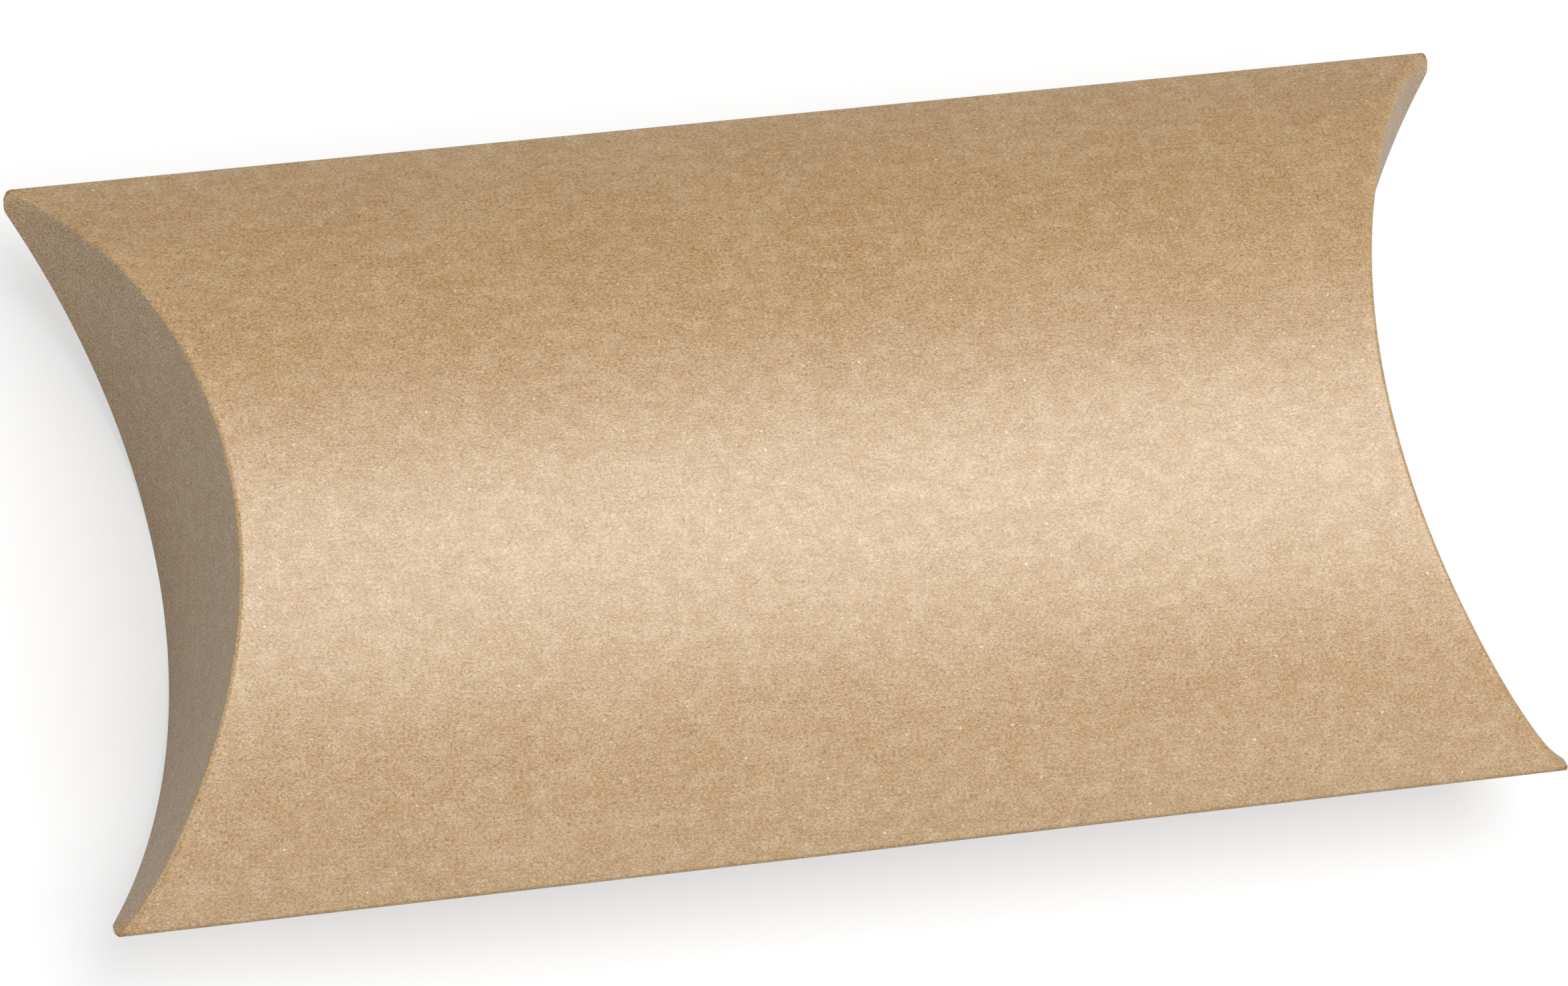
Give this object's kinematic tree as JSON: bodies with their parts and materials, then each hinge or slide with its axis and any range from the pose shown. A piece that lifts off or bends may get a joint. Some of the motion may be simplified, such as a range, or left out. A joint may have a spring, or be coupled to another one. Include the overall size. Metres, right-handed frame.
{
  "type": "pillow box",
  "caption": "Kraft card pillow box: two bulged panels on straight long folds, closed at each end by curved lens-shaped flaps.",
  "frame": {"origin": "middle of the box, on the level of the two straight long edges and halfway between the front and back crests", "axes": "+X along the box, +Y across it towards the plain spine fold, +Z out of the front panel"},
  "size_m": [0.16, 0.0834, 0.0304],
  "materials": {
    "kraft_card": "uncoated brown kraft card with visible fibres, faintly glossy from calendering",
    "dried_glue": "dried white carton glue, translucent"
  },
  "bodies": {
    "sleeve": {"front_panel": "kraft_card", "back_panel": "kraft_card", "spine_fold": "kraft_card", "glue_tab": "kraft_card", "glue_line": "dried_glue"},
    "left_outer_flap": {"left_outer_flap": "kraft_card"},
    "right_outer_flap": {"right_outer_flap": "kraft_card"},
    "left_inner_flap": {"left_inner_flap": "kraft_card"},
    "right_inner_flap": {"right_inner_flap": "kraft_card"}
  },
  "joints": [
    {"name": "left_outer_crease", "type": "hinge", "parent": "sleeve", "child": "left_outer_flap", "pos_m": [-0.06311, 0, 0.01525], "axis": [0, 1, 0], "range_deg": [0, 100]},
    {"name": "right_outer_crease", "type": "hinge", "parent": "sleeve", "child": "right_outer_flap", "pos_m": [0.06311, 0, 0.01525], "axis": [0, -1, 0], "range_deg": [0, 100]},
    {"name": "left_inner_crease", "type": "hinge", "parent": "sleeve", "child": "left_inner_flap", "pos_m": [-0.066, 0, -0.01525], "axis": [0, -1, 0], "range_deg": [0, 45]},
    {"name": "right_inner_crease", "type": "hinge", "parent": "sleeve", "child": "right_inner_flap", "pos_m": [0.066, 0, -0.01525], "axis": [0, 1, 0], "range_deg": [0, 45]}
  ],
  "couplings": [
    {"joint": "left_inner_crease", "follows": "left_outer_crease", "ratio": 0.45},
    {"joint": "right_inner_crease", "follows": "right_outer_crease", "ratio": 0.45}
  ]
}
